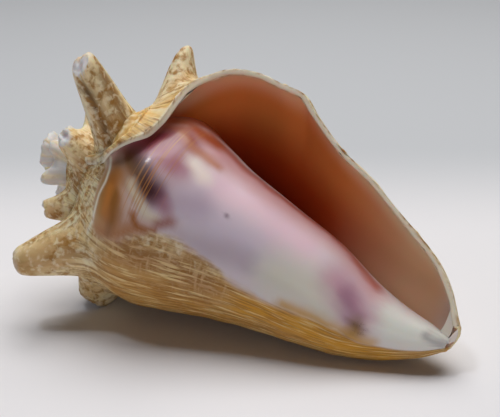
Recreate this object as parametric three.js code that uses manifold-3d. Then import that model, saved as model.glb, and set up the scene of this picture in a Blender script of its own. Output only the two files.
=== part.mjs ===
// A conch shell lying mouth to the front on its spines, in millimetres, +Z up.
// The shell coils about an axis that runs from the apex (towards -X, high) to the canal (towards +X, low).
// A growth angle tells how old a piece of shell is: 0 at the outer lip, falling towards the apex.
// Stations are measured along the axis from the apex, radii from the axis.
import * as THREE from "three";
import { mergeVertices } from "three/addons/utils/BufferGeometryUtils.js";
import Module from "manifold-3d";

const LIP_AROUND = 102.7; // degrees around the axis where the lip stands: 0 is the front, 90 is up
const AXIS_DROP = 16.8; // degrees by which the axis dips towards the canal
const FLOOR_DEPTH = 68.6; // from the apex down to the floor
const WALL = 3.6; // shell wall inside the mouth
const LIP_EDGE = 2.4; // shell wall at the lip
const THINNING = 65; // degrees of growth over which the wall thins to the lip
const HOLLOW_START = -0.75; // the hollow starts at this step of the ramp
const SOLID_ANGLE = -215; // the mouth's hollow ends at this growth angle
const SEAM_REACH = 70; // growth angle of the lip's corner at the seam
const WELD = 0.01; // corners closer than this are one
const SPINE_REACH = 1.2; // a spine ends this far around the axis, in radians
const LINING_STEP = 0.01; // steps to both sides from which the wall's slope is read
const THINNEST = 0.3; // the lining keeps this share of the radius at the front end
const HOLLOW_OVERRUN = 6; // degrees by which the hollow runs out past the lip

// How finely the turns are divided, from the lip's turn to the apex.
const RAMP_POINTS = 6; // points of a cross-section between the seam and the keel
const BODY_POINTS = 16; // points of a cross-section from the keel to the front end
const HOLLOW_POINTS = 13;
const SPIRE_POINTS = 6;
const KEEL_CROWDING = 0.35; // 1 spaces the points evenly, less brings them closer to the keel
const LAST_ROWS = 48;
const LIP_ROWS = 8;
const HOLLOW_ROWS = 20;
const HOLLOW_LIP_ROWS = 5;
const OLDER_ROWS = [56, 44, 32, 20];
const SPIRE_SHARE = 0.2; // the spire's turns are cut off at this share of the body

// The ramp starts inside the turn before, crests its keel and climbs to its own, at a keel this wide.
const SEAM = { keel: 39, sunk: 6, crest: 3, depth: 0.55, along: 0.4, climb: 0.55 };

// The shoulder keel: growth angle, station, radius.
const KEEL = [
  [-1830, 0.4, 0.5],
  [-1440, 4.5, 2.4],
  [-1080, 12, 6.6],
  [-900, 18, 10],
  [-720, 24, 14],
  [-580, 30, 19],
  [-450, 36, 23],
  [-360, 40.5, 26],
  [-262, 43, 29.5],
  [-180, 44.5, 34],
  [-90, 46.5, 37],
  [0, 48, 39],
  [15, 49, 41],
  [28, 51.5, 45],
  [36, 53, 46],
  [45, 53.5, 46],
  [52, 51.5, 45.5],
  [60, 48, 43.5],
  [67, 45, 40],
  [80, 40, 34],
];

// The body from the keel to its front end, as [share of the way, radius], at five growth angles.
const BODY = [
  {
    angle: -374,
    end: 196,
    outline: [
      [0, 26], [0.07, 36], [0.15, 40], [0.25, 35], [0.35, 29.8], [0.5, 25.4], [0.65, 22], [0.78, 16.5],
      [0.88, 11], [0.95, 7], [1, 3],
    ],
  },
  {
    angle: -180,
    end: 197,
    outline: [
      [0, 34], [0.07, 41.5], [0.15, 44.5], [0.25, 41.5], [0.35, 36.5], [0.5, 29.5], [0.65, 23.5],
      [0.78, 17], [0.88, 12], [0.95, 8], [1, 3.5],
    ],
  },
  {
    angle: -70,
    end: 199,
    outline: [
      [0, 37.5], [0.07, 46], [0.15, 51], [0.25, 50], [0.35, 45], [0.5, 37], [0.65, 30], [0.78, 24],
      [0.88, 18.5], [0.95, 13], [1, 8],
    ],
  },
  {
    angle: 0,
    end: 198,
    outline: [
      [0, 39], [0.04, 49], [0.09, 59], [0.15, 66], [0.23, 69.5], [0.3, 69.5], [0.37, 69.5], [0.42, 65],
      [0.52, 57.5], [0.65, 52], [0.78, 44], [0.88, 34], [0.95, 22], [1, 9],
    ],
  },
  {
    angle: 45,
    end: 198,
    outline: [
      [0, 46], [0.03, 45], [0.06, 45], [0.15, 60], [0.23, 69], [0.37, 69], [0.52, 57], [0.78, 44],
      [1, 9],
    ],
  },
];

// The lip runs on past the front over the spine below it: share of the body, growth angle of the lip.
const LIP_REACH = [
  [0, 66], [0.013, 56], [0.018, 49], [0.037, 40], [0.048, 33],
  [0.059, 26], [0.067, 14], [0.08, 3], [0.1, 0], [1, 0],
];

// The front end sags and then bends up: station, height.
const BEND = [[0, 0], [100, 0], [140, -3], [162, -5.5], [180, -3], [200, 3]];

// Spines on the keel: growth angle, length, half width, bluntness, tilt towards the apex.
const SPINES = [
  { angle: -11, length: 27, width: 9.6, blunt: 3.6, tilt: 13 },
  { angle: -58, length: 26, width: 9, blunt: 3.4, tilt: 10 },
  { angle: -100, length: 25, width: 9, blunt: 3.6, tilt: 14 },
  { angle: -138, length: 35, width: 8.5, blunt: 5, tilt: 12 },
  { angle: -175, length: 24, width: 12.5, blunt: 6, tilt: 5 },
  { angle: -222, length: 31, width: 9.5, blunt: 5, tilt: 43 },
  { angle: -322.5, length: 42, width: 8.8, blunt: 6.2, tilt: 24.5 },
  { angle: -415, length: 15, width: 5, blunt: 3.5, tilt: 38 },
  { angle: -462, length: 15, width: 5, blunt: 3.5, tilt: 40 },
  { angle: -522, length: 14, width: 4.8, blunt: 3.5, tilt: 45 },
  { angle: -580, length: 16, width: 5.6, blunt: 5, tilt: 55 },
  { angle: -662, length: 16, width: 6, blunt: 4.5, tilt: 33 },
];
// Further spines up the spire, sized by the keel's radius.
const SPIRE_SPINES = { from: -712, apart: -61, count: 14, length: 0.75, width: 0.26, more: 3.4, blunt: 3.5, tilt: 32 };
// Knobs, each also with the step of the cross-section at which it stands.
// The last is the swelling by which the ramp leans on the big spine beside the lip's corner.
const KNOBS = [
  { angle: -36, step: 0.22, length: 17, width: 6, blunt: 3, tilt: 0 },
  { angle: -84, step: 0.2, length: 7, width: 6, blunt: 3, tilt: 0 },
  { angle: -130, step: 0.18, length: 5, width: 6, blunt: 3, tilt: 0 },
  { angle: 38, step: -0.45, length: 7, width: 9, blunt: 3, tilt: 40 },
];

const RAD = Math.PI / 180;
const mix = (a, b, t) => a + (b - a) * t;
const smooth = (t) => THREE.MathUtils.smoothstep(t, 0, 1);

// A smooth curve through the points, read at x; the column says which value is read.
function curveAt(points, x, column = 1) {
  const last = points.length - 1;
  let i = 0;
  while (i < last - 1 && points[i + 1][0] < x) i++;
  const slope = (j) => {
    const before = points[Math.max(j - 1, 0)];
    const after = points[Math.min(j + 1, last)];
    return (after[column] - before[column]) / (after[0] - before[0]);
  };
  const width = points[i + 1][0] - points[i][0];
  const t = THREE.MathUtils.clamp((x - points[i][0]) / width, 0, 1);
  const value = mix(points[i][column], points[i + 1][column], t * t * (3 - 2 * t));
  return value + width * t * (1 - t) * ((1 - t) * slope(i) - t * slope(i + 1));
}

const keelAt = (angle) => [curveAt(KEEL, angle, 1), curveAt(KEEL, angle, 2)];

const spines = [...SPINES, ...KNOBS];
for (let n = 0; n < SPIRE_SPINES.count; n++) {
  const angle = SPIRE_SPINES.from + n * SPIRE_SPINES.apart;
  const size = keelAt(angle)[1];
  const { length, width, more, blunt, tilt } = SPIRE_SPINES;
  spines.push({ angle, length: length * size + more, width: width * size + more / 3, blunt, tilt });
}

// The ramp from the seam with the turn before up to the keel; q runs from 0 to 1.
function ramp(angle, q) {
  const before = keelAt(angle - 360);
  const keel = keelAt(angle);
  const size = keel[1] / SEAM.keel;
  const crest = before[0] + SEAM.crest * size;
  const path = [
    [before[0] + SEAM.sunk * size, before[1] * SEAM.depth],
    [crest, before[1]],
    [mix(crest, keel[0], SEAM.along), mix(before[1], keel[1], SEAM.climb)],
    keel,
  ];
  const point = new THREE.SplineCurve(path.map((p) => new THREE.Vector2(...p))).getPoint(q);
  return [point.x, point.y];
}

// The body in front of the keel; share runs from 0 at the keel to 1 at the front end.
function body(angle, share) {
  const rows = BODY.map(({ angle: at, end, outline }) => [at, curveAt(outline, share), end]);
  const keel = keelAt(angle);
  const oldest = BODY[0];
  const scale = angle < oldest.angle ? keel[1] / oldest.outline[0][1] : 1;
  return [mix(keel[0], curveAt(rows, angle, 2), share), curveAt(rows, angle, 1) * scale];
}

// The plain cross-section at a step: steps below zero are on the ramp, from -1 at its inner end.
const section = (angle, step) => (step < 0 ? ramp(angle, step + 1) : body(angle, step));

const around = (angle) => (LIP_AROUND - angle) * RAD;

// From station, height and front of the axis to the part's frame.
function place(station, height, front) {
  const dip = AXIS_DROP * RAD;
  const up = height + curveAt(BEND, station);
  return [station * Math.cos(dip) + up * Math.sin(dip), -front, up * Math.cos(dip) - station * Math.sin(dip)];
}

// The outer surface, with its spines.
function surface(angle, step) {
  const [station, radius] = section(angle, step);
  const moved = [station, radius * Math.sin(around(angle)), radius * Math.cos(around(angle))];
  for (const spine of spines) {
    const turned = (angle - spine.angle) * RAD;
    if (Math.abs(turned) > SPINE_REACH) continue;
    const foot = section(angle, spine.step ?? 0);
    const across = Math.hypot(station - foot[0], radius - foot[1]);
    const distance = Math.hypot(turned * foot[1], across);
    const height = spine.length / (1 + (distance / spine.width) ** spine.blunt);
    const out = height * Math.cos(spine.tilt * RAD);
    moved[0] -= height * Math.sin(spine.tilt * RAD);
    moved[1] += out * Math.sin(around(spine.angle));
    moved[2] += out * Math.cos(around(spine.angle));
  }
  return place(...moved);
}

// The inner surface of the wall: the plain cross-section moved inwards.
function lining(angle, step, wall) {
  const a = section(angle, Math.max(step - LINING_STEP, -1));
  const b = section(angle, Math.min(step + LINING_STEP, 1));
  const along = [b[0] - a[0], b[1] - a[1]];
  const size = Math.hypot(...along);
  const here = section(angle, step);
  const station = here[0] + (along[1] / size) * wall;
  const radius = Math.max(here[1] - (along[0] / size) * wall, here[1] * THINNEST);
  return place(station, radius * Math.sin(around(angle)), radius * Math.cos(around(angle)));
}

// The lip runs on along the seam: growth angle of the edge at a step.
function lipAngle(step) {
  if (step < 0) return mix(LIP_REACH[0][1], SEAM_REACH, smooth(-step));
  return curveAt(LIP_REACH, step);
}

// Growth angles from one to another, closer together over the spines.
function rowAngles(from, to, count) {
  const fine = 600;
  const sums = [0];
  for (let i = 1; i <= fine; i++) {
    const [a, b] = [i - 1, i].map((k) => mix(from, to, k / fine));
    const walk = new THREE.Vector3(...surface(a, 0)).distanceTo(new THREE.Vector3(...surface(b, 0)));
    sums.push(sums[i - 1] + walk + Math.abs(b - a) * RAD * keelAt(a)[1]);
  }
  return Array.from({ length: count + 1 }, (_, n) => {
    const goal = (sums[fine] * n) / count;
    const reached = sums.findIndex((s) => s >= goal - 1e-9);
    return mix(from, to, Math.max(reached, 0) / fine);
  });
}

// Steps of a cross-section, closer together near the keel.
function sectionSteps(bodyPoints, upTo) {
  const steps = [];
  for (let i = 0; i < RAMP_POINTS; i++) steps.push(-1 + i / RAMP_POINTS);
  for (let i = 0; i <= bodyPoints; i++) {
    const t = i / bodyPoints;
    steps.push(upTo * mix(t * t, t, KEEL_CROWDING));
  }
  return steps;
}

const wasm = await Module();
wasm.setup();

// A turn filled to the axis. Each row says which growth angle it has at a step.
function filledTurn(rows, steps, pointAt) {
  const positions = [];
  const index = [];
  const ends = [section(rows[0](0), steps[0])[0], section(rows[0](0), steps.at(-1))[0]];
  const wide = steps.length + 2;
  for (const row of rows) {
    positions.push(...place(ends[0], 0, 0));
    for (const step of steps) positions.push(...pointAt(row(step), step));
    positions.push(...place(ends[1], 0, 0));
  }
  for (let i = 0; i < rows.length - 1; i++)
    for (let j = 0; j < wide - 1; j++) {
      const a = i * wide + j;
      const b = a + wide;
      index.push(a, b, a + 1, a + 1, b, b + 1);
    }
  const hub = positions.length / 3;
  positions.push(...place((ends[0] + ends[1]) / 2, 0, 0));
  const last = (rows.length - 1) * wide;
  for (let j = 0; j < wide - 1; j++) index.push(hub, j, j + 1, hub, last + j + 1, last + j);
  return solid(positions, index);
}

function solid(positions, index, weld = 1e-4) {
  const geometry = new THREE.BufferGeometry();
  geometry.setAttribute("position", new THREE.Float32BufferAttribute(positions, 3));
  geometry.setIndex(index);
  const merged = mergeVertices(geometry, weld);
  const corners = merged.index.array;
  const kept = [];
  for (let i = 0; i < corners.length; i += 3) {
    const [a, b, c] = corners.slice(i, i + 3);
    if (a !== b && b !== c && c !== a) kept.push(a, b, c);
  }
  return new wasm.Manifold(new wasm.Mesh({
    numProp: 3,
    vertProperties: merged.attributes.position.array,
    triVerts: new Uint32Array(kept),
  }));
}

const fixedRows = (angles) => angles.map((angle) => () => angle);
const lipRows = (count, reach) =>
  Array.from({ length: count }, (_, i) => (step) => (reach(step) * (i + 1)) / count);

const lastAngles = rowAngles(SOLID_ANGLE, 0, LAST_ROWS);
const outer = filledTurn(
  [...fixedRows(lastAngles), ...lipRows(LIP_ROWS, lipAngle)],
  sectionSteps(BODY_POINTS, 1),
  surface,
);
const hollowAngles = Array.from({ length: HOLLOW_ROWS + 1 }, (_, i) => mix(SOLID_ANGLE, 0, i / HOLLOW_ROWS));
const wallAt = (angle) => mix(WALL, LIP_EDGE, smooth(1 + angle / THINNING));
const hollow = filledTurn(
  [...fixedRows(hollowAngles), ...lipRows(HOLLOW_LIP_ROWS, (step) => lipAngle(step) + HOLLOW_OVERRUN)],
  sectionSteps(HOLLOW_POINTS, 1),
  (angle, step) => lining(angle, Math.max(step, HOLLOW_START), wallAt(angle)),
);
let shell = outer.subtract(hollow);

// The older turns are added in halves, and each half runs one row into the one after it.
let next = lastAngles;
OLDER_ROWS.forEach((count, turn) => {
  const angles = [...rowAngles(next[0] - 360, next[0], count), next[1]];
  const steps = turn === 0 ? sectionSteps(BODY_POINTS, 1) : sectionSteps(SPIRE_POINTS, SPIRE_SHARE);
  const middle = Math.floor(count / 2);
  shell = shell.add(filledTurn(fixedRows(angles.slice(0, middle + 2)), steps, surface));
  shell = shell.add(filledTurn(fixedRows(angles.slice(middle)), steps, surface));
  next = angles;
});

// Slivers between the turns are welded away, and pockets sealed in there come apart as pieces of their own.
// Only the shell itself is kept.
function tidied(joined) {
  const { vertProperties, triVerts } = joined.getMesh();
  const pieces = solid(Array.from(vertProperties), Array.from(triVerts), WELD).decompose();
  return pieces.reduce((most, piece) => (piece.volume() > most.volume() ? piece : most));
}
const mesh = tidied(shell.trimByPlane([0, 0, 1], -FLOOR_DEPTH)).getMesh();
const geometry = new THREE.BufferGeometry();
geometry.setAttribute("position", new THREE.BufferAttribute(new Float32Array(mesh.vertProperties), 3));
geometry.setIndex(new THREE.BufferAttribute(new Uint32Array(mesh.triVerts), 1));
// the origin goes to the middle of the bounding box's bottom
geometry.computeBoundingBox();
const { min, max } = geometry.boundingBox;
geometry.translate(-(min.x + max.x) / 2, -(min.y + max.y) / 2, -min.z);
geometry.computeVertexNormals();

const conch = new THREE.Mesh(geometry, new THREE.MeshStandardMaterial({ color: 0xd9b98a, roughness: 0.5 }));
conch.name = "conch";
const part = new THREE.Group();
part.add(conch);
export default part;
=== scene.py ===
"""A weathered conch shell lying on its spines, mouth to the front, as a Blender add-on run as a script.

The shell coils about an axis that runs from the apex, at the left and high, to the canal, at the right and low.
A growth angle says how old a piece of shell is: 0 at the lip, falling towards the apex.
Stations are measured along the axis from the apex and radii from the axis, both in millimetres.
"""

import math

import bpy
import numpy as np
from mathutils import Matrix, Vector, noise


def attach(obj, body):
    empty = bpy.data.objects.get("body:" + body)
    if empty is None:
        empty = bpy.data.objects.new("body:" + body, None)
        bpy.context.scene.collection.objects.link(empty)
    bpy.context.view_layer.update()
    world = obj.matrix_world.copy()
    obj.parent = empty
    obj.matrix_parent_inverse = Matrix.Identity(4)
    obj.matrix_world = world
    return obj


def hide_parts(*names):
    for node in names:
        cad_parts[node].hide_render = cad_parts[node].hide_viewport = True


bl_info = {
    "name": "Conch Shell",
    "version": (1, 0, 0),
    "blender": (4, 5, 0),
    "location": "3D View > Sidebar > Conch",
    "description": "Grows a weathered conch shell and the plain studio around it",
    "category": "Add Mesh",
}

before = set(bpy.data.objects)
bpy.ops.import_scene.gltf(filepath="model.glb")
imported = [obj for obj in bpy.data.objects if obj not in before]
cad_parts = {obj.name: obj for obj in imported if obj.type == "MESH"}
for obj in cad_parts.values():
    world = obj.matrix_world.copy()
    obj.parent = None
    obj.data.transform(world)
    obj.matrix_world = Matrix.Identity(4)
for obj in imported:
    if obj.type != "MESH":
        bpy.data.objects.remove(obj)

MM = 0.001

# The growth curves, the same as those of the solid shell.
LIP_AROUND = 102.7  # degrees around the axis from straight in front up to the lip
AXIS_DROP = math.radians(16.8)
APEX = np.array((-96.475, -6.688, 68.6))
# The keel, where the spines stand: growth angle, station, radius.
KEEL = np.array(
    [
        (-1830, 0.4, 0.5),
        (-1440, 4.5, 2.4),
        (-1080, 12, 6.6),
        (-900, 18, 10),
        (-720, 24, 14),
        (-580, 30, 19),
        (-450, 36, 23),
        (-360, 40.5, 26),
        (-262, 43, 29.5),
        (-180, 44.5, 34),
        (-90, 46.5, 37),
        (0, 48, 39),
        (15, 49, 41),
        (28, 51.5, 45),
        (36, 53, 46),
        (45, 53.5, 46),
        (52, 51.5, 45.5),
        (60, 48, 43.5),
        (67, 45, 40),
        (80, 40, 34),
    ]
)
LIP_KEEL_RADIUS = 39
# The body: growth angle, station of its front end, and radius by share of the way from the keel to that end.
BODY = [
    (
        -374,
        196,
        [(0, 26), (0.07, 36), (0.15, 40), (0.25, 35), (0.35, 29.8), (0.5, 25.4), (0.65, 22), (0.78, 16.5), (0.88, 11),
         (0.95, 7), (1, 3)],
    ),
    (
        -180,
        197,
        [(0, 34), (0.07, 41.5), (0.15, 44.5), (0.25, 41.5), (0.35, 36.5), (0.5, 29.5), (0.65, 23.5), (0.78, 17),
         (0.88, 12), (0.95, 8), (1, 3.5)],
    ),
    (
        -70,
        199,
        [(0, 37.5), (0.07, 46), (0.15, 51), (0.25, 50), (0.35, 45), (0.5, 37), (0.65, 30), (0.78, 24), (0.88, 18.5),
         (0.95, 13), (1, 8)],
    ),
    (
        0,
        198,
        [(0, 39), (0.04, 49), (0.09, 59), (0.15, 66), (0.23, 69.5), (0.3, 69.5), (0.37, 69.5), (0.42, 65),
         (0.52, 57.5), (0.65, 52), (0.78, 44), (0.88, 34), (0.95, 22), (1, 9)],
    ),
    (
        45,
        198,
        [(0, 46), (0.03, 45), (0.06, 45), (0.15, 60), (0.23, 69), (0.37, 69), (0.52, 57), (0.78, 44), (1, 9)],
    ),
]
# The lip's edge: share of the body, growth angle that it reaches there.
LIP_REACH = [
    (0, 66), (0.013, 56), (0.018, 49), (0.037, 40), (0.048, 33), (0.059, 26), (0.067, 14), (0.08, 3), (0.1, 0),
    (1, 0),
]
SEAM_REACH = 70  # growth angle of the lip's edge at the seam
LIP_SINKS = (54, 13)  # growth angle from which the lip's end sinks onto the turn below, and over how many degrees
BEND = [(0, 0), (100, 0), (140, -3), (162, -5.5), (180, -3), (200, 3)]  # station, height of the bent axis there
THINNING = 65  # degrees of growth over which the wall thins to the lip
LIP_TAPER = (32, 34)  # growth angle from which the lip's wall thins again, and over how many degrees

# Spines: growth angle, step of the cross-section where they stand, length, half width, bluntness, tilt to the apex.
SPINES = [
    (-11, 0, 27, 9.6, 3.6, 13),
    (-58, 0, 26, 9, 3.4, 10),
    (-100, 0, 25, 9, 3.6, 14),
    (-138, 0, 35, 8.5, 5, 12),
    (-175, 0, 24, 12.5, 6, 5),
    (-222, 0, 31, 9.5, 5, 43),
    (-322.5, 0, 42, 8.8, 6.2, 24.5),
    (-415, 0, 15, 5, 3.5, 38),
    (-462, 0, 15, 5, 3.5, 40),
    (-522, 0, 14, 4.8, 3.5, 45),
    (-580, 0, 16, 5.6, 5, 55),
    (-662, 0, 16, 6, 4.5, 33),
    (-36, 0.22, 17, 6, 3, 0),
    (-84, 0.2, 7, 6, 3, 0),
    (-130, 0.18, 5, 6, 3, 0),
    (38, -0.45, 7, 9, 3, 40),
]
SPINE_SPREAD = 1.2  # radians of growth beyond which a spine changes nothing
# Spine tips that broke off: growth angle, depth in millimetres, lean of the break to the right and to the front.
BREAKS = [(-322.5, 1.0, -0.75, 0.6), (-662, 2.6, -0.2, 0.2), (-580, 1.6, -0.5, 0.0), (-175, 1.2, -0.3, 0.3)]
JAGS = (1.7, 0.5)  # size of the jags on a break in millimetres, and their share of its depth
# The small knobs that wind up the spire.
NODULES = {
    "start": -712,
    "apart": -61,
    "count": 14,
    "length": 0.75,
    "width": 0.26,
    "more": 3.4,
    "blunt": 3.5,
    "tilt": 32,
}

RIGHTWARDS = np.array((0.895, 0.446, 0))  # to the right as the shell is seen from in front of its mouth
FORWARDS = np.array((0.446, -0.895, 0))  # out of the mouth

OLDEST = -1655  # growth angle where the shell is a speck
SPIRE_END = -460  # growth angle where the spire's coarser sheet meets the last turns
DEEPEST = -300  # growth angle where the mouth's lining ends in the dark
SPIRE_SHARE = 0.2  # share of the body that shows on the spire's turns
LINING_START = -0.76  # step where the lining begins: nearer the axis, the turn before hides it
LIP_ROWS = 46  # rows of the mesh between the last even row and the lip's edge
FACING_IN = ("mouth_lining", "lip_edge")  # sheets that would face into the wall if they weren't turned
CANAL = (-85, 0.976)  # growth angle and step from which the tip of the canal is closed


def linear(code):
    """An sRGB hex colour as linear light."""
    values = [int(code[i : i + 2], 16) / 255 for i in (1, 3, 5)]
    return tuple(v / 12.92 if v <= 0.04045 else ((v + 0.055) / 1.055) ** 2.4 for v in values)


def mix(a, b, t):
    """From a at t = 0 to b at t = 1."""
    return a + (b - a) * t


def smooth(t):
    """0 up to t = 0 and 1 from t = 1, with a soft rise between."""
    t = np.clip(t, 0, 1)
    return t * t * (3 - 2 * t)


def row_at(table, rows):
    """For each column of the table, the value in the row that is named for it."""
    return np.take_along_axis(table, rows[None], 0)[0]


def curve_at(xs, ys, x):
    """A smooth curve through the points, read at x; a point's height may be an array of its own."""
    xs = np.asarray(xs, float)
    x = np.asarray(x, float)
    ys = np.stack([np.broadcast_to(np.asarray(y, float), x.shape) for y in ys])
    last = len(xs) - 1
    spans = [(max(j - 1, 0), min(j + 1, last)) for j in range(last + 1)]
    slopes = np.stack([(ys[b] - ys[a]) / (xs[b] - xs[a]) for a, b in spans])
    i = np.searchsorted(xs[1:-1], x, side="left")
    width = xs[i + 1] - xs[i]
    t = np.clip((x - xs[i]) / width, 0, 1)
    value = mix(row_at(ys, i), row_at(ys, i + 1), t * t * (3 - 2 * t))
    return value + width * t * (1 - t) * ((1 - t) * row_at(slopes, i) - t * row_at(slopes, i + 1))


def points_at(points, x):
    """The smooth curve through (x, y) points, read at x."""
    return curve_at([p[0] for p in points], [p[1] for p in points], x)


def keel_at(growth):
    """Station and radius of the keel."""
    return points_at(KEEL[:, :2], growth), points_at(KEEL[:, [0, 2]], growth)


def ramp(growth, q):
    """The ramp from the seam with the turn before up to the keel; q runs from 0 to 1."""
    before, before_radius = keel_at(growth - 360)
    keel, radius = keel_at(growth)
    size = radius / LIP_KEEL_RADIUS
    path = [
        (before + 6 * size, before_radius * 0.55),
        (before + 3 * size, before_radius),
        (mix(before + 3 * size, keel, 0.4), mix(before_radius, radius, 0.55)),
        (keel, radius),
    ]
    walked = np.clip(q, 0, 1) * 3
    i = np.minimum(np.floor(walked).astype(int), 3)
    t = walked - i
    found = []
    for column in range(2):
        table = np.stack([np.broadcast_to(p[column], walked.shape) for p in path])
        p0, p1, p2, p3 = (row_at(table, np.clip(i + k, 0, 3)) for k in (-1, 0, 1, 2))
        v0, v1 = (p2 - p0) / 2, (p3 - p1) / 2
        found.append((2 * p1 - 2 * p2 + v0 + v1) * t**3 + (3 * p2 - 3 * p1 - 2 * v0 - v1) * t**2 + v0 * t + p1)
    return found


def body(growth, share):
    """The body in front of the keel; share runs from 0 at the keel to 1 at the front end."""
    angles = [row[0] for row in BODY]
    radius = curve_at(angles, [points_at(row[2], share) for row in BODY], growth)
    end = curve_at(angles, [row[1] for row in BODY], growth)
    keel, keel_radius = keel_at(growth)
    scale = np.where(growth < angles[0], keel_radius / BODY[0][2][0][1], 1)
    return mix(keel, end, share), radius * scale


def section(growth, step):
    """The plain cross-section: steps below 0 are on the ramp, from -1 at its inner end.

    Past the lip's last spine the wall sinks to 0.3 mm over the turn below it.
    """
    growth, step = np.broadcast_arrays(np.asarray(growth, float), np.asarray(step, float))
    on_ramp = ramp(growth, step + 1)
    on_body = body(growth, np.clip(step, 0, 1))
    found = [np.where(step < 0, r, b) for r, b in zip(on_ramp, on_body)]
    sunk = smooth((growth - LIP_SINKS[0]) / LIP_SINKS[1])
    if sunk.any():
        below = section(growth - 360, step)
        found = [mix(found[0], below[0], sunk), mix(found[1], below[1] + 0.3, sunk)]
    return found


def around(growth):
    """Angle around the axis in radians, from straight in front upwards."""
    return np.radians(LIP_AROUND - growth)


def place(station, height, front):
    """From station, height over the axis and distance in front of it to the part's frame."""
    up = height + points_at(BEND, station)
    c, s = math.cos(AXIS_DROP), math.sin(AXIS_DROP)
    return np.stack([station * c + up * s, -front, up * c - station * s], -1) + APEX


def wind(growth, station, radius):
    """From station and distance from the axis, turned to the growth angle, to the part's frame."""
    return place(station, radius * np.sin(around(growth)), radius * np.cos(around(growth)))


def all_spines():
    """The rows of SPINES and one for each knob of the spire."""
    rows = list(SPINES)
    for n in range(NODULES["count"]):
        angle = NODULES["start"] + n * NODULES["apart"]
        size = float(keel_at(np.array(angle, float))[1])
        width = NODULES["width"] * size + NODULES["more"] / 3
        length = NODULES["length"] * size + NODULES["more"]
        rows.append((angle, 0, length, width, NODULES["blunt"], NODULES["tilt"]))
    return rows


def spine_ends(angle):
    """Tip and foot of the spine at this growth angle, and how many degrees it spreads over."""
    row = next(row for row in SPINES if row[0] == angle)
    station, radius = section(np.array([angle], float), 0)
    out, back = (row[2] * f(math.radians(row[5])) for f in (math.cos, math.sin))
    tip, foot = wind(angle, station - back, radius + out)[0], wind(angle, station, radius)[0]
    return tip, foot, math.degrees(2 * row[3] / radius[0])


def lip_growth(step):
    """Growth angle of the lip's edge at a step: the lip runs on over the spine below it."""
    on_ramp = mix(LIP_REACH[0][1], SEAM_REACH, smooth(-step))
    return np.where(step < 0, on_ramp, points_at(LIP_REACH, np.clip(step, 0, 1)))


def outside(growth, step):
    """The outer surface with its spines, and how far up a spine each point stands: over 1 on a broken end."""
    plain, radius = section(growth, step)
    station = plain
    height = radius * np.sin(around(growth))
    front = radius * np.cos(around(growth))
    rise = np.zeros_like(station)
    for angle, at_step, length, width, blunt, tilt in all_spines():
        turned = np.radians(growth - angle)
        near = np.abs(turned) < SPINE_SPREAD
        foot, foot_radius = section(growth, np.full_like(radius, at_step))
        across = np.hypot(plain - foot, radius - foot_radius)
        distance = np.hypot(turned * foot_radius, across)
        share_up = np.where(near, 1 / (1 + (distance / width) ** blunt), 0)
        out = length * share_up * math.cos(math.radians(tilt))
        station = station - length * share_up * math.sin(math.radians(tilt))
        height = height + out * math.sin(around(angle))
        front = front + out * math.cos(around(angle))
        rise = np.maximum(rise, share_up)
    points = place(station, height, front)
    for angle, depth, right, forward in BREAKS:
        tip, foot, turn = spine_ends(angle)
        along = (tip - foot) / np.linalg.norm(tip - foot)
        lean = along + right * RIGHTWARDS + forward * FORWARDS
        lean /= np.linalg.norm(lean)
        over = (points - tip + depth * along) @ lean / (along @ lean)
        cut = (over > 0) & (np.abs(growth - angle) < turn) & (rise > 0.4)  # the end of this spine and no other
        jagged = np.array([noise.noise(Vector(point) / JAGS[0]) for point in points[cut]])
        points[cut] -= along * (over[cut] * (1 + JAGS[1] * jagged))[:, None]
        rise[cut] = 1 + np.minimum(over[cut], 1)
    return points, rise


def lining(growth, step, wall):
    """The inner face of the wall, moved inwards from the plain cross-section, but never onto the axis."""
    a = section(growth, np.maximum(step - 0.01, -1))
    b = section(growth, np.minimum(step + 0.01, 1))
    along = b[0] - a[0], b[1] - a[1]
    size = np.hypot(*along) + 1e-9
    here = section(growth, step)
    station = here[0] + along[1] / size * wall
    radius = np.maximum(here[1] - along[0] / size * wall, here[1] * 0.3)
    return wind(growth, station, radius)


def evenly(values, lengths, spacing):
    """Values picked so that the walk between them is about one spacing."""
    walk = np.concatenate([[0], np.cumsum(lengths)])
    count = max(int(round(walk[-1] / spacing)), 2)
    return np.interp(np.linspace(0, walk[-1], count + 1), walk, values)


def row_growths(start, end, spacing):
    """Growth angles of the rows, closer together over the spines."""
    fine = np.linspace(start, end, 4000)
    along, _ = outside(fine, np.zeros_like(fine))
    shoulder, _ = outside(fine, np.full_like(fine, 0.12))
    walks = [np.linalg.norm(np.diff(line, axis=0), axis=1) for line in (along, shoulder)]
    return evenly(fine, np.maximum(*walks), spacing)


def section_steps(spacing):
    """Steps of the cross-section, closest together at the keel, where the spines rise."""
    steps = np.concatenate([np.linspace(-1, 0, 400)[:-1], np.linspace(0, 1, 1200)])
    station, radius = section(np.full_like(steps, -200.0), steps)
    middle = (steps[1:] + steps[:-1]) / 2
    lengths = np.hypot(np.diff(station), np.diff(radius))
    keel_distance = np.abs(np.cumsum(lengths) - lengths[middle < 0].sum())
    # less than half the spacing within 5 mm of the keel, a quarter more past 21 mm, and the plain one at the front
    finer = mix(0.42, 1.25, smooth((keel_distance - 5) / 16))
    finer = np.where(middle > 0.6, mix(finer, 1.0, smooth((middle - 0.6) / 0.2)), finer)
    return evenly(steps, lengths / finer, spacing)


def marks(growth, step, inner=0, rise=0):
    """What the paint reads at each point: inner runs from 0 outside to 1 on the lining."""
    none = np.zeros_like(step)
    return {"growth": growth, "step": step, "inner": none + inner, "rise": none + rise}


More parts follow.
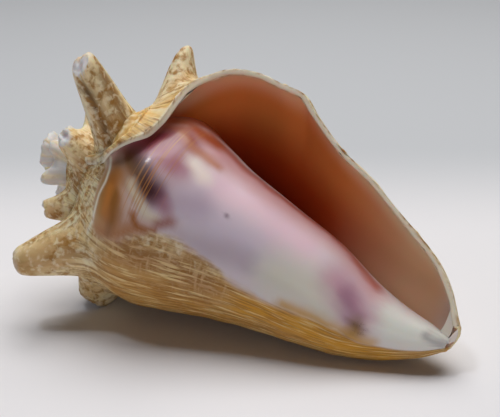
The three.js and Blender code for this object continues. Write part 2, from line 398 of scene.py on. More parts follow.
def sheet(name, us, vs, shape):
    """A grid from Blender, wound into place: shape turns rows of u and v into points and named values."""
    bpy.ops.object.select_all(action="DESELECT")
    bpy.ops.mesh.primitive_grid_add(x_subdivisions=len(us) - 1, y_subdivisions=len(vs) - 1, size=2)
    piece = bpy.context.object
    piece.name = name
    flat = np.empty(len(piece.data.vertices) * 3)
    piece.data.vertices.foreach_get("co", flat)
    flat = (flat.reshape(-1, 3) + 1) / 2
    i = np.rint(flat[:, 0] * (len(us) - 1)).astype(int)
    j = np.rint(flat[:, 1] * (len(vs) - 1)).astype(int)
    points, values = shape(np.asarray(us)[i], np.asarray(vs)[j])
    points[:, 2] = np.maximum(points[:, 2], 0)
    piece.data.vertices.foreach_set("co", (points * MM).ravel())
    for key, value in values.items():
        attribute = piece.data.attributes.new(key, "FLOAT", "POINT")
        attribute.data.foreach_set("value", np.ascontiguousarray(value, np.float32))
    return piece


def edit_whole(piece, operation, **options):
    """Runs one mesh operation over all of the piece."""
    bpy.ops.object.select_all(action="DESELECT")
    piece.select_set(True)
    bpy.context.view_layer.objects.active = piece
    bpy.ops.object.mode_set(mode="EDIT")
    bpy.ops.mesh.select_all(action="SELECT")
    operation(**options)
    bpy.ops.object.mode_set(mode="OBJECT")


def join(pieces, name, weld):
    """Joins the pieces into one, with points closer than weld (in metres) made one."""
    bpy.ops.object.select_all(action="DESELECT")
    for piece in pieces:
        piece.select_set(True)
    bpy.context.view_layer.objects.active = pieces[0]
    bpy.ops.object.join()
    whole = pieces[0]
    whole.name = name
    edit_whole(whole, bpy.ops.mesh.remove_doubles, threshold=weld)
    bpy.ops.object.shade_smooth()
    return whole


def grow(sizes):
    """The whole shell as one piece: last turns, spire, mouth lining and the rounded edges between them."""
    steps = section_steps(sizes.column_spacing / MM)
    rows = row_growths(SPIRE_END, 0, sizes.row_spacing / MM)
    last_row = len(rows) - 1

    def last_turns(u, step):
        even = np.interp(u, np.arange(len(rows)), rows)
        late = np.clip((u - last_row) / LIP_ROWS, 0, 1)
        growth = np.where(late > 0, lip_growth(step) * late, even)
        points, rise = outside(growth, step)
        return points, marks(growth, step, rise=rise)

    def spire(growth, step):
        points, rise = outside(growth, step)
        return points, marks(growth, step, rise=rise)

    def wall_at(growth):
        wall = mix(sizes.wall / MM, sizes.lip_edge / MM, smooth(1 + growth / THINNING))
        return wall * (1 - 0.8 * smooth((growth - LIP_TAPER[0]) / LIP_TAPER[1]))

    def mouth_lining(u, step):
        reach = np.where(u > 0, lip_growth(step) * u, 0)
        growth = np.where(u < 0, u * -DEEPEST, reach)
        return lining(growth, step, wall_at(growth)), marks(growth, step, inner=1)

    def edge(growth, step, t, before):
        """The rounded edge of the wall, out of the shell from the row before: t runs from outside to inside."""
        outer, _ = outside(growth, step)
        along = outer - before
        along /= np.linalg.norm(along, axis=1)[:, None] + 1e-9
        inner = lining(growth, step, wall_at(growth))
        middle = (outer + inner) / 2
        half = (outer - inner) / 2
        corner = smooth((1 - step) / 0.012) + smooth(-growth / 5) * (growth < 0)
        bulge = (np.linalg.norm(half, axis=1) * np.clip(corner, 0, 1))[:, None] * along
        turn = np.pi * t[:, None]
        return middle + half * np.cos(turn) + bulge * np.sin(turn), marks(growth, step, inner=t)

    def lip_edge(step, t):
        growth = lip_growth(step)
        return edge(growth, step, t, outside(growth - 1.5, step)[0])

    def front_edge(growth, t):
        step = np.ones_like(growth)
        return edge(growth, step, t, outside(growth, step - 0.01)[0])

    def front_cap(growth, t):
        """Closes the front end of the turns inside the shell."""
        station, radius = section(growth, np.ones_like(growth))
        turn = t * np.pi / 2
        points = wind(growth, station + 1.2 * np.sin(turn), radius * np.cos(turn))
        return points, marks(growth, np.ones_like(t))

    def canal_wall(growth, t):
        """Closes the canal's tip from the wall down to the axis."""
        station, radius = section(growth, np.ones_like(growth))
        points = wind(growth, station - 2.2 * t, (radius - 0.9 * wall_at(growth)) * (1 - t))
        return points, marks(growth, np.ones_like(t), inner=1)

    def canal_floor(step, t):
        """Closes the canal's tip from the lip down to the turn inside, nearly a whole turn back."""
        growth = np.zeros_like(step)
        rim = lining(growth, step, wall_at(growth))
        pillar, _ = outside(growth - 354, step)
        points = mix(rim, pillar, t[:, None]) + (1.5 * np.sin(np.pi * t))[:, None] * (0, 0, -1)
        return points, marks(growth, step, inner=1)

    old_rows = row_growths(OLDEST, SPIRE_END, 0.8 * sizes.row_spacing / MM)
    spire_steps = steps[::2][steps[::2] < SPIRE_SHARE]
    lining_steps = steps[steps >= LINING_START][::2]
    lining_us = np.concatenate([np.linspace(-1, 0, 90), np.linspace(0, 1, 30)[1:]])
    turn_rows = np.concatenate([np.arange(len(rows)), last_row + np.arange(1, LIP_ROWS + 1)])
    pieces = [
        sheet("last_turns", turn_rows, steps, last_turns),
        sheet("spire", old_rows, spire_steps, spire),
        sheet("mouth_lining", lining_us, lining_steps, mouth_lining),
        sheet("lip_edge", steps, np.linspace(0, 1, 9), lip_edge),
        sheet("front_edge", rows[rows > DEEPEST], np.linspace(0, 1, 7), front_edge),
        sheet("front_cap", rows[rows < DEEPEST + 2], np.linspace(0, 1, 6), front_cap),
        sheet("canal_wall", np.linspace(CANAL[0], 0, 30), np.linspace(0, 1, 8), canal_wall),
        sheet("canal_floor", np.linspace(CANAL[1], 1, 8), np.linspace(0, 1, 8), canal_floor),
    ]
    for piece in pieces:
        if piece.name in FACING_IN:
            edit_whole(piece, bpy.ops.mesh.flip_normals)
    return join(pieces, "conch_shell", 2e-6)


class ConchSizes(bpy.types.PropertyGroup):
    """Sizes of the shell that a user may change."""

    row_spacing: bpy.props.FloatProperty(
        name="Row spacing",
        description="Walk along the keel between two rows of the mesh",
        default=1.3 * MM,
        unit="LENGTH",
    )
    column_spacing: bpy.props.FloatProperty(
        name="Column spacing",
        description="Walk along the axis between two columns of the mesh",
        default=1.3 * MM,
        unit="LENGTH",
    )
    wall: bpy.props.FloatProperty(
        name="Wall", description="Shell wall inside the mouth", default=3.6 * MM, unit="LENGTH"
    )
    lip_edge: bpy.props.FloatProperty(
        name="Lip edge", description="Shell wall at the lip", default=2.0 * MM, unit="LENGTH"
    )


class ConchColours(bpy.types.PropertyGroup):
    """Colours of the shell and of the studio."""

    cream: bpy.props.FloatVectorProperty(
        name="Cream",
        description="Ground colour of the outside",
        default=linear("#F2E2B4"),
        subtype="COLOR",
    )
    floor: bpy.props.FloatVectorProperty(
        name="Floor",
        description="Colour of the paper under the shell",
        default=linear("#E9E7EA"),
        subtype="COLOR",
    )
    # the darker far colour is painted shade, standing for a backdrop behind the shell that gets less light
    far_floor_shade: bpy.props.FloatVectorProperty(
        name="Far floor",
        description="Colour of the paper behind the shell",
        default=linear("#C6C8CC"),
        subtype="COLOR",
    )


# The shell unrolled flat, for painting: millimetres for a degree of growth and for one step of the section.
ALONG = 0.62
ACROSS = 153


def wobble(along, across, reach, seed):
    """Soft unevenness of about this reach in millimetres, between -1 and 1."""
    return np.array([noise.noise((a / reach, b / reach, seed)) for a, b in zip(along, across)])


def stroke(spots, path, width):
    """How strongly a brush stroke covers each spot: 1 on its path over the shell, falling to 0 at its width."""
    path = np.array(path, float)
    fine = np.linspace(0, len(path) - 1, 6 * (len(path) - 1) + 1)
    growth, step = (np.interp(fine, np.arange(len(path)), path[:, column]) for column in (0, 1))
    line, _ = outside(growth, step)
    near = np.flatnonzero(np.all((spots > line.min(0) - width) & (spots < line.max(0) + width), axis=1))
    found = np.zeros(len(spots))
    nearest = np.full(len(near), 1e9)
    for start, end in zip(line[:-1], line[1:]):
        run = end - start
        t = np.clip((spots[near] - start) @ run / (run @ run + 1e-9), 0, 1)
        nearest = np.minimum(nearest, np.linalg.norm(spots[near] - start - t[:, None] * run, axis=1))
    found[near] = 1 - smooth(nearest / width)
    return found


# Lower edge of the glaze on the inner turn: step, growth angle.
GLAZE_EDGE = [
    (-1, -300), (-0.1, -296), (0, -280), (0.05, -258), (0.085, -250), (0.143, -254), (0.208, -263), (0.29, -268),
    (0.37, -264), (0.46, -255), (0.545, -251), (0.65, -253), (0.75, -255), (0.82, -247), (0.89, -243), (1, -236),
]

# Paths over the shell, as growth angle and step. A path's comment says what lies along it.
SEAM_LINE = [  # the pale seam where the glaze begins beside the keel
    (-299, 0.035), (-292, 0.045), (-285, 0.05), (-276, 0.045), (-268, 0.05), (-260, 0.055), (-250, 0.05),
]
GOLD_BAND = [(-240, 0.5), (-246, 0.65), (-240, 0.8), (-222, 0.87)]  # the golden strip under the glaze
# a ridge beside the long spine, raised in the mesh; its pale paint is partly a painted highlight on the crest
SPINE_RIDGE_AND_HIGHLIGHT = [(-310, -0.012), (-307, -0.002), (-305, -0.02), (-303, -0.04), (-296, -0.01)]  # beside the long spine
# a groove at the long spine's foot, sunk in the mesh; its dark brown is partly painted shade
SPINE_GROOVE_AND_SHADE = [(-309, 0.011), (-309.5, 0.022), (-308.5, 0.026), (-308, 0.031), (-304, 0.03)]  # and at its foot
BELLY_LATTICE = [(-258, 0.15), (-258, 0.28), (-252, 0.4)]  # cream lines below the glaze
SPINE_LATTICE = [(-228, 0.04), (-223, 0.03)]  # and on the spine to their left
THREAD_BAND = [(-390, 0.11), (-350, 0.13), (-318, 0.155), (-300, 0.17), (-286, 0.175)]  # threads over the glaze
SPECKLED_SPOT = [(-275, 0.793), (-276, 0.795)]
# two small holes near the lip, not cut in the mesh: their dark spots are painted shade
LIP_HOLE_SHADOWS = [([(42, 0.03), (41, 0.031)], 1.1), ([(38.6, 0.035), (38.2, 0.036)], 1.3)]  # with their half widths

# Brush strokes on the glaze: colour, strength, half width in millimetres, path of growth angle and step.
GLAZE_STROKES = [
    # the middle: lilac, rose, milky cream and white towards the canal
    ("#CBBBCB", 0.85, 22, [(-295, 0.307), (-292, 0.4), (-290, 0.5)]),
    ("#E0BCC9", 0.9, 15, [(-322, 0.33), (-326, 0.45), (-322, 0.58)]),
    ("#D8D3C4", 0.9, 18, [(-281, 0.56), (-286, 0.66), (-278, 0.7)]),
    ("#E4E3DA", 1, 17, [(-300, 0.84), (-290, 0.98)]),
    ("#A795A2", 0.5, 9, [(-277, 0.3), (-276, 0.36), (-278, 0.42), (-280, 0.47)]),
    ("#AE97AA", 0.55, 10, [(-290, 0.23), (-296, 0.27), (-300, 0.31)]),
    # the upper end and its far side: rose, rust and wine red, with a darker rose-brown past the far edge that is
    # partly painted shade where the wall turns into the mouth
    ("#A04E68", 0.95, 16, [(-316, 0.09), (-318, 0.15), (-316, 0.2)]),
    ("#B98A92", 0.5, 11, [(-322, 0.19), (-332, 0.24), (-340, 0.28)]),
    ("#CC8F92", 0.7, 12, [(-347, 0.24), (-347, 0.33), (-350, 0.48), (-357, 0.61), (-353, 0.68), (-340, 0.78)]),
    # darker rose-brown past the far edge: partly the glaze's colour, partly painted shade
    ("#B05A4E", 0.9, 6, [(-357, 0.22), (-357, 0.33), (-361, 0.48), (-368, 0.61), (-365, 0.68), (-351, 0.78)]),
    ("#9A3E28", 0.95, 14, [(-330, 0.05), (-346, 0.09), (-360, 0.13), (-372, 0.17)]),
    ("#8A2E16", 0.95, 9, [(-352, 0.1), (-360, 0.16), (-370, 0.21), (-378, 0.26)]),
    ("#B4582C", 0.8, 5, [(-335, 0.13), (-340, 0.165), (-350, 0.2), (-355, 0.24)]),
    ("#8C2F42", 1, 10, [(-322, 0.125), (-330, 0.155), (-335, 0.19)]),
    ("#A04A22", 0.9, 8, [(-344, 0.11), (-348, 0.15), (-347, 0.2), (-352, 0.24)]),
    # the plum patch, with a grey line beside it and a cream line that is partly the glaze's colour and partly a
    # painted highlight
    ("#7C3550", 0.9, 11, [(-303, 0.085), (-299, 0.125), (-293, 0.165), (-291, 0.19)]),
    ("#96586E", 0.7, 5, [(-293, 0.21), (-287, 0.24)]),
    ("#34040F", 1, 9, [(-304, 0.088), (-299, 0.125), (-294, 0.165), (-292, 0.185)]),
    ("#8E8F9C", 0.8, 4, [(-301, 0.06), (-294, 0.09), (-290, 0.115)]),
    ("#D9CDB8", 0.9, 4, [(-291, 0.13), (-286, 0.16), (-280, 0.2), (-279, 0.225)]),
    # tan and ochre at the left end, down to a thin brown curl
    ("#BA8C50", 1, 22, [(-282, 0.055), (-265, 0.08), (-250, 0.1)]),
    (
        "#A8682A",
        0.95,
        10,
        [(-290, 0.07), (-280, 0.085), (-270, 0.11), (-262, 0.13), (-256, 0.1), (-264, 0.17), (-268, 0.2)],
    ),
    ("#8E5A1C", 0.85, 3.5, [(-282, 0.1), (-270, 0.125), (-258, 0.12)]),
    ("#C98038", 0.7, 3.5, [(-283, 0.075), (-270, 0.09)]),
    ("#9A5818", 1, 2.8, [(-276, 0.17), (-271, 0.19), (-270, 0.215), (-272, 0.235)]),
    ("#8C3A1E", 0.8, 5, [(-277, 0.24), (-281, 0.262)]),
    # a painted highlight in cream, and a rusty streak, between the rose and the lilac
    ("#EBDDD4", 0.9, 7, [(-322, 0.24), (-318, 0.275)]),
    ("#B0642C", 0.75, 5, [(-336, 0.165), (-331, 0.205), (-332, 0.245), (-333, 0.285)]),
    # near the canal: the purple blotch, the brown spot, the golden edge and a grey tip
    ("#C89AAA", 0.9, 14, [(-312, 0.7), (-302, 0.75), (-290, 0.78)]),
    ("#93607C", 0.6, 8, [(-306, 0.735), (-296, 0.75), (-286, 0.765)]),
    ("#74460F", 1, 6.5, [(-277, 0.785), (-268, 0.79), (-260, 0.78)]),
    ("#C6922E", 0.9, 6, [(-258, 0.6), (-260, 0.7), (-256, 0.75), (-258, 0.79), (-250, 0.83)]),
    ("#A9A6A6", 0.8, 4, [(-300, 0.955), (-280, 0.99), (-262, 1)]),
    # one small dark mark in the middle
    ("#7E6474", 0.8, 1.2, [(-303, 0.374), (-301, 0.384)]),
]

# Brush strokes on the matt outside, in the same form.
OUTER_STROKES = [
    # the golden strip, the olive tip of the left spine, and brown at the foot of the long one
    ("#D09416", 0.95, 11, GOLD_BAND),
    ("#9A7A2A", 0.75, 9, [(-222, 0.0), (-217, 0.03), (-226, 0.03)]),
    ("#7E4E10", 0.8, 6, [(-325, 0.035), (-322, 0.05), (-318, 0.06)]),
    # below the glaze and along the keel
    ("#8F5E26", 0.8, 15, [(-258, 0.17), (-258, 0.28), (-252, 0.38)]),
    ("#E9DDBD", 0.9, 5, [(-300, 0.01), (-285, 0.01), (-262, 0.0), (-245, -0.01)]),
    ("#B47A2C", 0.4, 11, [(-238, 0.04), (-230, 0.04), (-222, 0.03)]),
    # the pale ridge beside the long spine: partly its colour, partly a painted highlight
    ("#E9DEC0", 0.95, 3.2, SPINE_RIDGE_AND_HIGHLIGHT),
    # the dark brown groove at the spine's foot: partly its colour, partly painted shade
    ("#5E3E12", 0.95, 3.8, SPINE_GROOVE_AND_SHADE),
    # the long spine, the spire and the lip's spine
    ("#A8783A", 0.6, 7, [(-312, 0.04), (-310, 0.05), (-308, 0.07)]),
    ("#B0702C", 0.9, 8, [(-648, 0.04), (-635, 0.03), (-620, 0.02)]),
    ("#F2E4BE", 0.8, 16, [(-40, 0.0), (-11, 0.0), (14, 0.0)]),
    ("#C8923E", 0.6, 5, [(-2, 0.04), (2, 0.03), (8, 0.02)]),
    ("#C08038", 0.6, 7, [(-586, 0.02), (-578, 0.02)]),
]

# Colours of the lining, darker deeper in, where the dark red is partly painted shade: how many degrees of growth
# inside the lip each starts, and over how many more it comes in.
LINING_COLOURS_AND_SHADE = [("#F09A50", 8, 16), ("#C4501A", 29, 26), ("#8E1C0C", 45, 40)]


def paint(points, growth, step, inner, rise, cream):
    """Relief in millimetres at each point, and the colour and the masks that the material reads."""
    along, across = growth * ALONG, step * ACROSS
    cloud = wobble(along, across, 9, 1)
    fine = wobble(along, across, 3.5, 2)
    shift = wobble(along, across, 6, 3)
    folds = wobble(along, across / 8, 1.7, 4)
    ripples = wobble(along, across / 12, 1.5, 5)
    lumps = np.array([noise.noise(Vector(point) / 2.6) for point in points])
    # the strokes are laid over points moved a little, so that their edges are uneven
    spots = points + np.column_stack([1.3 * cloud + 0.7 * fine, 1.3 * shift, 1.0 * cloud - 0.7 * fine])
    colour = np.tile(cream, (len(growth), 1))

    def lay(code, mask):
        nonlocal colour
        colour = mix(colour, np.array(linear(code)), np.clip(mask, 0, 1)[:, None])

    def lay_strokes(strokes, where):
        for code, strength, width, path in strokes:
            lay(code, stroke(spots, path, width) * strength * where)

    outer = 1 - smooth(inner * 2)
    inside = smooth(inner * 2 - 1)

    # the outside: ochre clouds on cream, browner on the belly, creamy yellow on the ramp beside the lip
    belly = smooth((growth + 268) / 14) * (1 - smooth((growth + 150) / 40)) * smooth((step - 0.05) / 0.1)
    tongue = smooth((growth - 2) / 20) * outer
    lay("#C8903C", 0.5 * smooth(0.4 + 1.6 * cloud) * outer)
    lay("#B98228", 0.9 * belly)
    lay("#E4B55E", 0.85 * tongue)
    lay_strokes(OUTER_STROKES, outer)

    # the glaze, which stops at the spines and at the last turn
    edge = points_at(GLAZE_EDGE, np.clip(step, -1, 1))
    depth = (edge - growth) * ALONG + 2.2 * cloud + 0.8 * fine - 600 * np.maximum(rise - 0.06, 0)
    glaze = smooth(depth / 5) * smooth((growth + 470) / 8) * outer * smooth((step - 0.015) / 0.02)
    lay("#DCCDD2", glaze)
    lay_strokes(GLAZE_STROKES, glaze)
    lay("#F1EAD8", stroke(points, SEAM_LINE, 1.5) * outer)

    # the inside: peach at the lip, partly a painted glow of light through the thin lip, orange, then dark red that is
    # partly painted shade deep in the mouth, and cream towards the canal
    lay("#FFCBA0", inside)
    for code, start, run in LINING_COLOURS_AND_SHADE:
        lay(code, inside * smooth((-growth - start) / run))
    lay("#F6D6AE", inside * smooth((step - 0.5) / 0.35) * 0.85)
    lay("#F3E2C2", inside * smooth((step - 0.45) / 0.3) * (1 - smooth((-growth - 3) / 22)) * 0.9)
    lay("#E9D6CC", inside * smooth((step - 0.9) / 0.1))

    # the cream rim of the lip, the folds of the ramp beside it, and the painted shade of two small worm holes that
    # the mesh doesn't have
    rim = np.exp(-(((lip_growth(step) - growth) * ALONG / 1.8) ** 2))
    lay("#EFE3CF", rim * np.where(inner > 0, smooth(1.6 - inner), 1) * 0.9)
    lay("#B9822A", tongue * 0.7 * smooth(-2 * folds))
    lay("#F5E6C2", tongue * 0.7 * smooth(2 * folds))
    lay("#2A1A10", sum(stroke(points, path, width) for path, width in LIP_HOLE_SHADOWS))

    # chalk on the broken spines and on the oldest turns
    chalk = outer * np.maximum(smooth(rise - 1), 0.3 * smooth((rise - 0.93) / 0.05))
    chalk = np.maximum(chalk, (1 - smooth((growth + 900) / 160)) * outer * smooth(0.75 + cloud))
    rough = outer * (1 - glaze)
    gold = stroke(spots, GOLD_BAND, 11)
    lattice = np.maximum(stroke(spots, BELLY_LATTICE, 17), 0.8 * stroke(spots, SPINE_LATTICE, 12)) * outer

    relief = rough * (0.22 * ripples + 0.35 * cloud) + 0.9 * chalk * lumps + tongue * 0.5 * folds
    relief += (0.5 * stroke(points, SPINE_RIDGE_AND_HIGHLIGHT, 2.4) - 1.1 * stroke(points, SPINE_GROOVE_AND_SHADE, 2.4)) * outer
    relief += rim * (0.3 * fine + 0.5 * shift)
    return relief, {
        "tint": colour,
        "along": along,
        "across": across,
        "glaze": np.maximum(glaze, inside),
        "fibres": rough * (1 - 0.2 * gold) * (1 - 0.85 * smooth((rise - 0.08) / 0.35)),
        "mottle": rough * (1 - 0.9 * belly) * (1 - gold) * (1 - chalk) * (1 - 0.8 * tongue),
        "lattice": lattice * (1 - glaze),
        "threads": glaze * stroke(spots, THREAD_BAND, 17),
        "chalk": chalk,
        "specks": stroke(spots, SPECKLED_SPOT, 4) * glaze,
    }


def store(piece, cream):
    """Paints the piece, moves its points by the relief and keeps the rest as attributes on them."""
    mesh = piece.data
    count = len(mesh.vertices)
    read = {}
    for name in ("growth", "step", "inner", "rise"):
        values = np.empty(count, np.float32)
        mesh.attributes[name].data.foreach_get("value", values)
        read[name] = values.astype(float)
    points, normals = np.empty(count * 3), np.empty(count * 3)
    mesh.vertices.foreach_get("co", points)
    mesh.vertices.foreach_get("normal", normals)
    points, normals = points.reshape(-1, 3) / MM, normals.reshape(-1, 3)
    relief, painted = paint(points, **read, cream=cream)
    points = points + normals * relief[:, None]
    points[:, 2] = np.maximum(points[:, 2], 0)
    mesh.vertices.foreach_set("co", (points * MM).ravel())
    for name, value in painted.items():
        if value.ndim == 2:
            kind, key, value = "FLOAT_COLOR", "color", np.column_stack([value, np.ones(count)])
        else:
            kind, key = "FLOAT", "value"
        attribute = mesh.attributes.new(name, kind, "POINT")
        attribute.data.foreach_set(key, np.ascontiguousarray(value, np.float32).ravel())


def add(tree, kind, inputs=(), **settings):
    """Adds a node with its settings; an input is a value or a socket to link."""
    node = tree.nodes.new(kind)
    for key, value in settings.items():
        setattr(node, key, value)
    for key, value in dict(inputs).items():
        if isinstance(value, bpy.types.NodeSocket):
            tree.links.new(value, node.inputs[key])
        else:
            node.inputs[key].default_value = value
    return node


# Noise on the unrolled shell: sizes in millimetres along the growth and across it, detail, roughness, seed, and the
# two noise values between which the marking comes in.
GRAINS = {
    "dark streaks": ((1.3, 15), 5, 0.62, 0.3, (0.45, 0.6)),
    "pale streaks": ((1.7, 18), 4, 0.6, 4.1, (0.51, 0.64)),
    "cords": ((9, 1.9), 3, 0.55, 2.2, (0.5, 0.62)),
    "rests": ((1.9, 8), 3, 0.55, 5.9, (0.5, 0.62)),
    "thread lines": ((42, 0.85), 2, 0.5, 9.4, (0.55, 0.63)),
}
# Noise in the shell's own space: width of a lump in millimetres, detail, distortion, and the same two values.
PATCHES = {
    "flakes": (2.1, 6, 0.3, (0.42, 0.64)),
    "pale flakes": (1.6, 5, 0.3, (0.48, 0.66)),
    "gather": (9, 2, 0.2, (0.3, 0.52)),
}
LUMP = 0.6  # a noise of scale 1 has lumps about this wide
DOTS = (0.9, (0.32, 0.2))  # Voronoi cells per millimetre, and the distances between which a dot fills out
MASKS = ("fibres", "mottle", "lattice", "threads", "chalk", "specks")
# Markings over the painted colour, lowest first: colour, strength, and the shares that are multiplied.
MARKINGS = [
    # growth streaks 1 to 2 mm wide that run along the axis, dark ochre and pale cream
    ("#97641A", 0.8, ("dark streaks", "fibres")),
    ("#EED49A", 0.75, ("pale streaks", "fibres")),
    # ochre flakes 2 to 4 mm wide with cream between them, on the spines and the keel
    ("#A06C12", 0.9, ("flakes", "gather", "mottle")),
    ("#F1E4C4", 0.6, ("pale flakes", "mottle")),
    # cream lattice of spiral cords 5 mm apart and growth lines 3.5 mm apart
    ("#D8B484", 0.55, ("net", "lattice")),
    # orange-brown threads over the glaze: the real ones are finer and are drawn just under 1 mm to show
    ("#B87A3C", 0.6, ("thread lines", "threads")),
    # bare chalk where the spines broke and on the worn apex
    ("#D9D6D6", 1, ("chalk",)),
    # dark dots in the speckled spot
    ("#1E120C", 1, ("dots", "specks")),
]
GLAZE_ROUGHNESS, OUTSIDE_ROUGHNESS = 0.4, 0.62


def shell_material():
    """Sea shell, which is calcium carbonate: weathered and chalky outside, and smooth as porcelain in the mouth.

    The outside is matt and fibrous along its growth lines. The glaze mirrors the lamps softly, and light sinks a
    few millimetres into it, which gives the mouth its warmth.
    """
    material = bpy.data.materials.new("weathered_conch_shell")
    material.use_nodes = True
    tree = material.node_tree
    shader = tree.nodes["Principled BSDF"]
    read = {
        name: add(tree, "ShaderNodeAttribute", attribute_name=name).outputs["Fac"]
        for name in ("along", "across", "glaze", *MASKS)
    }
    flat = add(tree, "ShaderNodeCombineXYZ", {"X": read["along"], "Y": read["across"]}).outputs[0]
    solid = add(tree, "ShaderNodeTexCoord").outputs["Object"]

    sources = {}
    for name, ((long, wide), detail, roughness, seed, reach) in GRAINS.items():
        drawn = add(tree, "ShaderNodeMapping", {"Vector": flat, "Scale": (1 / long, 1 / wide, 1)}).outputs[0]
        settings = {"Vector": drawn, "W": seed, "Scale": 1, "Detail": detail, "Roughness": roughness}
        sources[name] = add(tree, "ShaderNodeTexNoise", settings, noise_dimensions="4D").outputs["Fac"], reach
    for name, (size, detail, distortion, reach) in PATCHES.items():
        settings = {"Vector": solid, "Scale": LUMP / (size * MM), "Detail": detail, "Distortion": distortion}
        sources[name] = add(tree, "ShaderNodeTexNoise", settings).outputs["Fac"], reach
    cells = add(tree, "ShaderNodeTexVoronoi", {"Vector": flat, "Scale": DOTS[0]})
    sources["dots"] = cells.outputs["Distance"], DOTS[1]

    shares = {name: read[name] for name in MASKS}
    for name, (source, (low, high)) in sources.items():
        settings = {"Value": source, "From Min": low, "From Max": high}
        shares[name] = add(tree, "ShaderNodeMapRange", settings, interpolation_type="SMOOTHSTEP").outputs["Result"]
    both = {0: shares["cords"], 1: shares["rests"]}
    shares["net"] = add(tree, "ShaderNodeMath", both, operation="MAXIMUM").outputs[0]

    colour = add(tree, "ShaderNodeAttribute", attribute_name="tint").outputs["Color"]
    for code, strength, names in MARKINGS:
        share = strength
        for name in names:
            share = add(tree, "ShaderNodeMath", {0: shares[name], 1: share}, operation="MULTIPLY").outputs[0]
        layer = {0: share, 6: colour, 7: (*linear(code), 1)}
        colour = add(tree, "ShaderNodeMix", layer, data_type="RGBA").outputs[2]
    tree.links.new(colour, shader.inputs["Base Color"])

    shine = {"Value": read["glaze"], "To Min": OUTSIDE_ROUGHNESS, "To Max": GLAZE_ROUGHNESS}
    tree.links.new(add(tree, "ShaderNodeMapRange", shine).outputs[0], shader.inputs["Roughness"])
    coat = add(tree, "ShaderNodeMath", {0: read["glaze"], 1: 0.35}, operation="MULTIPLY")
    tree.links.new(coat.outputs[0], shader.inputs["Coat Weight"])
    shader.inputs["Coat Roughness"].default_value = 0.12
    shader.inputs["IOR"].default_value = 1.53
    shader.inputs["Subsurface Weight"].default_value = 0.3
    shader.inputs["Subsurface Radius"].default_value = (1, 0.45, 0.25)
    shader.inputs["Subsurface Scale"].default_value = 8 * MM

    # the streaks and the flakes stand up a little
    both = {0: sources["dark streaks"][0], 1: sources["pale streaks"][0]}
    height = add(tree, "ShaderNodeMath", both, operation="ADD").outputs[0]
    height = add(tree, "ShaderNodeMath", {0: height, 1: shares["fibres"]}, operation="MULTIPLY").outputs[0]
    raised = {0: sources["flakes"][0], 1: shares["mottle"], 2: height}
    height = add(tree, "ShaderNodeMath", raised, operation="MULTIPLY_ADD").outputs[0]
    bump = add(tree, "ShaderNodeBump", {"Height": height, "Strength": 0.6, "Distance": 0.6 * MM})
    tree.links.new(bump.outputs[0], shader.inputs["Normal"])
    return material


# The camera that took the photo looks at a place in the shell from its right and from above.
AZIMUTH, ELEVATION, DISTANCE, VIEW = math.radians(26.46), math.radians(21), 0.430, math.radians(27.29)
LOOKED_AT = Vector((0.004995, -0.005272, 0.05564))
# the fade to the darker far colour is painted shade for the backdrop
FADE = (0.09, 0.26)  # metres behind the middle over which the paper turns to its far colour
AIR = ((0.93, 0.95, 1, 1), 0.035)  # colour and strength of the light from all around
# Lamps: name, place and size in metres, watts, colour.
LAMPS = [
    ("softbox", (-0.05, 0.35, 1.6), 1.3, 26, (1, 0.985, 0.96)),
    ("window", (-0.3, -0.34, 1.3), 0.16, 2.5, (0.85, 0.92, 1)),
    ("room", (0.85, -1.2, 0.3), 0.7, 2.1, (1, 0.96, 0.92)),
]


def paper_material(colours):
    """Uncoated studio paper: matt, with no grain that shows, and fading to a darker, cooler grey behind the shell,
    which is painted shade for a backdrop that gets less light.
    """
    material = bpy.data.materials.new("matt_paper")
    material.use_nodes = True
    tree = material.node_tree
    shader = tree.nodes["Principled BSDF"]
    away = Vector((-math.sin(AZIMUTH), math.cos(AZIMUTH), 0))
    level = {0: add(tree, "ShaderNodeTexCoord").outputs["Object"], 1: away}
    depth = add(tree, "ShaderNodeVectorMath", level, operation="DOT_PRODUCT").outputs["Value"]
    settings = {"Value": depth, "From Min": FADE[0], "From Max": FADE[1]}
    far = add(tree, "ShaderNodeMapRange", settings, interpolation_type="SMOOTHSTEP").outputs[0]
    layer = {0: far, 6: (*colours.floor, 1), 7: (*colours.far_floor_shade, 1)}
    tree.links.new(add(tree, "ShaderNodeMix", layer, data_type="RGBA").outputs[2], shader.inputs["Base Color"])
    shader.inputs["Roughness"].default_value = 0.9
    return material


class CONCH_OT_shell(bpy.types.Operator):
    """Grow the conch shell"""

    bl_idname = "conch.shell"
    bl_label = "Conch Shell"

    def execute(self, context):
        shell = grow(context.scene.conch_sizes)
        store(shell, tuple(context.scene.conch_colours.cream))
        shell.data.materials.clear()
        shell.data.materials.append(shell_material())
        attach(shell, "root")
        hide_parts("conch")
        return {"FINISHED"}


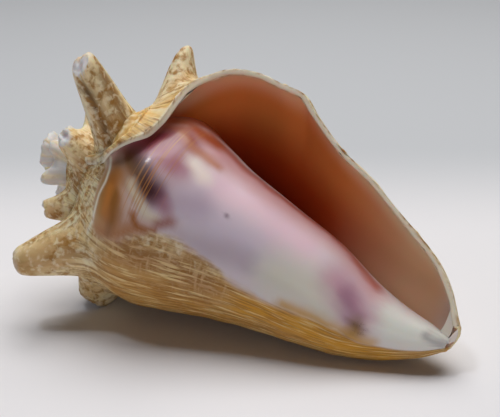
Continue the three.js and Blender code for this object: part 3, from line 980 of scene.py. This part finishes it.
class CONCH_OT_stage(bpy.types.Operator):
    """Lay the floor and set the lamps and the camera"""

    bl_idname = "conch.stage"
    bl_label = "Studio"

    def execute(self, context):
        scene = context.scene
        bpy.ops.mesh.primitive_plane_add(size=8)
        floor = context.object
        floor.name = "studio_floor"
        floor.data.materials.append(paper_material(scene.conch_colours))

        level = math.cos(ELEVATION)
        back = Vector((math.sin(AZIMUTH) * level, -math.cos(AZIMUTH) * level, math.sin(ELEVATION)))
        bpy.ops.object.camera_add(location=LOOKED_AT + back * DISTANCE)
        scene.camera = context.object
        scene.camera.rotation_euler = back.to_track_quat("Z", "Y").to_euler()
        scene.camera.data.angle = VIEW
        scene.camera.data.clip_start = 0.01
        scene.view_settings.view_transform = "Standard"

        scene.world = bpy.data.worlds.new("studio")
        scene.world.use_nodes = True
        air = scene.world.node_tree.nodes["Background"]
        air.inputs["Color"].default_value, air.inputs["Strength"].default_value = AIR
        for name, at, size, power, colour in LAMPS:
            bpy.ops.object.light_add(type="AREA", location=at)
            lamp = context.object
            lamp.name = name
            lamp.rotation_euler = (Vector(at) - Vector((0, 0, 0.05))).to_track_quat("Z", "Y").to_euler()
            lamp.data.size, lamp.data.energy, lamp.data.color = size, power, colour
        return {"FINISHED"}


class CONCH_PT_panel(bpy.types.Panel):
    """The sizes, the colours and the operators"""

    bl_idname = "CONCH_PT_panel"
    bl_label = "Conch Shell"
    bl_space_type = "VIEW_3D"
    bl_region_type = "UI"
    bl_category = "Conch"

    def draw(self, context):
        for group in (context.scene.conch_sizes, context.scene.conch_colours):
            for name in group.bl_rna.properties.keys():
                if name not in ("rna_type", "name"):
                    self.layout.prop(group, name)
        for operator in (CONCH_OT_shell, CONCH_OT_stage):
            self.layout.operator(operator.bl_idname)


CLASSES = (ConchSizes, ConchColours, CONCH_OT_shell, CONCH_OT_stage, CONCH_PT_panel)


def register():
    for cls in CLASSES:
        bpy.utils.register_class(cls)
    bpy.types.Scene.conch_sizes = bpy.props.PointerProperty(type=ConchSizes)
    bpy.types.Scene.conch_colours = bpy.props.PointerProperty(type=ConchColours)


def unregister():
    del bpy.types.Scene.conch_colours
    del bpy.types.Scene.conch_sizes
    for cls in reversed(CLASSES):
        bpy.utils.unregister_class(cls)


def main():
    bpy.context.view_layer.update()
    register()
    bpy.ops.conch.shell()
    bpy.ops.conch.stage()


if __name__ == "__main__":
    main()
